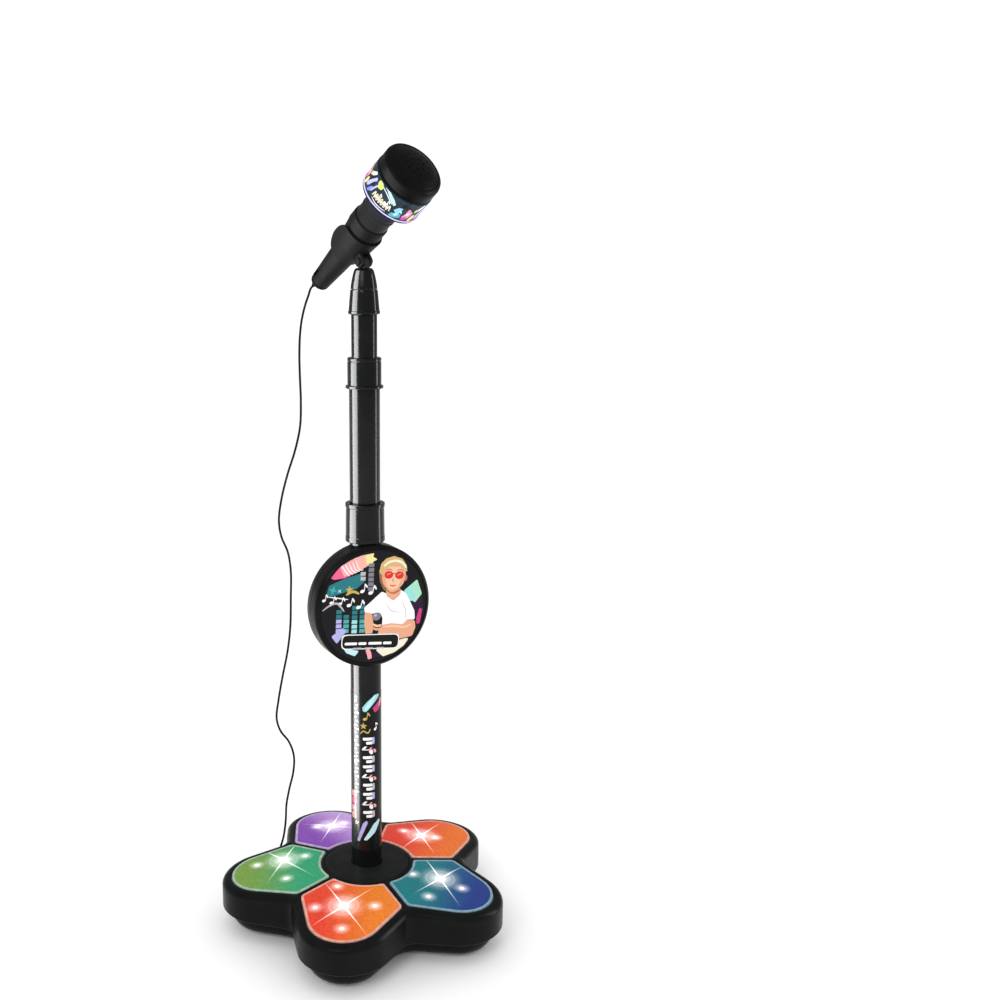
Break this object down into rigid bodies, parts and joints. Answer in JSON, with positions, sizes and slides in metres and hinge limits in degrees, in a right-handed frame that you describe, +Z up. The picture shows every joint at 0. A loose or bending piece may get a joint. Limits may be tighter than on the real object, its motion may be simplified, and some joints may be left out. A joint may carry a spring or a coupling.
{
  "type": "toy microphone",
  "caption": "Child's corded microphone on a telescoping pole, with a light ring, a picture disc and a lobed base of light-up foot pads.",
  "frame": {"origin": "centre of the base's outline on the floor; the pole stands 9.5 mm in front of it", "axes": "+Z up along the pole, -Y towards the front of the picture disc, +X to the right seen from the front"},
  "size_m": [0.28, 0.2695, 0.7517],
  "materials": {
    "gloss_black": "glossy moulded",
    "matte_black": "satin moulded",
    "head_black": "satin moulded",
    "black_rubber": "matte",
    "circuit_board": "solder mask",
    "printed_label": "printed film",
    "light_band": "translucent, printed",
    "bright_steel": "plated",
    "cell_wrap": "printed wrap",
    "lens_front": "translucent lens, lit",
    "lens_right": "translucent lens, lit",
    "lens_back_right": "translucent lens, lit",
    "lens_back_left": "translucent lens, lit",
    "lens_left": "translucent lens, lit"
  },
  "bodies": {
    "stand": {"base_top_shell": "gloss_black", "base_tray": "gloss_black", "hub_cover": "matte_black", "pole_socket": "head_black", "cord_inlet": "black_rubber", "foot_front": "black_rubber", "foot_right": "black_rubber", "foot_back_right": "black_rubber", "foot_back_left": "black_rubber", "foot_left": "black_rubber", "led_board_front": "circuit_board", "led_board_right": "circuit_board", "led_board_back_right": "circuit_board", "led_board_back_left": "circuit_board", "led_board_left": "circuit_board", "battery_box": "head_black", "battery_cell_1": "cell_wrap", "battery_cell_2": "cell_wrap", "battery_cell_3": "cell_wrap", "battery_door": "gloss_black", "battery_door_screw": "bright_steel", "speaker": "head_black", "main_board": "circuit_board", "lower_tube": "gloss_black", "tube_sticker": "printed_label", "tube_connector": "gloss_black", "mid_tube": "gloss_black", "disc_front_shell": "gloss_black", "disc_back_shell": "gloss_black", "disc_label": "printed_label", "disc_clamp": "gloss_black", "disc_screw_left": "bright_steel", "disc_screw_right": "bright_steel", "mic_cord": "black_rubber"},
    "locking_collar": {"locking_collar": "gloss_black"},
    "tube_bush": {"tube_bush": "matte_black"},
    "top_tube": {"top_tube": "gloss_black", "neck_barrel": "gloss_black", "neck_cone": "gloss_black", "pivot_pin": "bright_steel"},
    "mic_clip": {"mic_clip": "matte_black"},
    "microphone": {"mic_handle": "matte_black", "mic_end_cap": "matte_black", "mic_cord_boot": "black_rubber", "mic_board": "circuit_board", "neck_sleeve": "matte_black", "ring_rim": "gloss_black", "head_core": "head_black", "light_ring": "light_band", "ring_led_board": "circuit_board", "head_collar": "head_black", "head_cap": "head_black", "mic_capsule": "bright_steel"},
    "mic_switch": {"mic_switch": "head_black"},
    "pad_front": {"light_pad_front": "lens_front"},
    "pad_right": {"light_pad_right": "lens_right"},
    "pad_back_right": {"light_pad_back_right": "lens_back_right"},
    "pad_back_left": {"light_pad_back_left": "lens_back_left"},
    "pad_left": {"light_pad_left": "lens_left"}
  },
  "joints": [
    {"name": "height_slide", "type": "slide", "parent": "stand", "child": "tube_bush", "axis": [0, 0, 1], "range_m": [-0.036, 0.025], "deforming": ["mic_cord"]},
    {"name": "pole_turn", "type": "hinge", "parent": "tube_bush", "child": "top_tube", "pos_m": [0, -0.00955, 0.55], "axis": [0, 0, 1], "range_deg": [-40, 40], "deforming": ["mic_cord"]},
    {"name": "clip_tilt", "type": "hinge", "parent": "top_tube", "child": "mic_clip", "pos_m": [0, -0.00955, 0.652], "axis": [-0.9613, -0.2756, 0], "range_deg": [-34, 35], "deforming": ["mic_cord"]},
    {"name": "mic_lift", "type": "slide", "parent": "mic_clip", "child": "microphone", "axis": [-0.162, 0.565, 0.809], "range_m": [0, 0.045], "deforming": ["mic_cord"]},
    {"name": "mic_switch_slide", "type": "slide", "parent": "microphone", "child": "mic_switch", "axis": [0.223, -0.7777, 0.5878], "range_m": [0, 0.003]},
    {"name": "collar_twist", "type": "hinge", "parent": "stand", "child": "locking_collar", "pos_m": [0, -0.00955, 0.55], "axis": [0, 0, 1], "range_deg": [0, 90]},
    {"name": "pad_press_front", "type": "slide", "parent": "stand", "child": "pad_front", "axis": [0, 0, -1], "range_m": [0, 0.002], "stiffness_N_per_m": 2500, "springref_m": -0.0004},
    {"name": "pad_press_right", "type": "slide", "parent": "stand", "child": "pad_right", "axis": [0, 0, -1], "range_m": [0, 0.002], "stiffness_N_per_m": 2500, "springref_m": -0.0004},
    {"name": "pad_press_back_right", "type": "slide", "parent": "stand", "child": "pad_back_right", "axis": [0, 0, -1], "range_m": [0, 0.002], "stiffness_N_per_m": 2500, "springref_m": -0.0004},
    {"name": "pad_press_back_left", "type": "slide", "parent": "stand", "child": "pad_back_left", "axis": [0, 0, -1], "range_m": [0, 0.002], "stiffness_N_per_m": 2500, "springref_m": -0.0004},
    {"name": "pad_press_left", "type": "slide", "parent": "stand", "child": "pad_left", "axis": [0, 0, -1], "range_m": [0, 0.002], "stiffness_N_per_m": 2500, "springref_m": -0.0004}
  ]
}
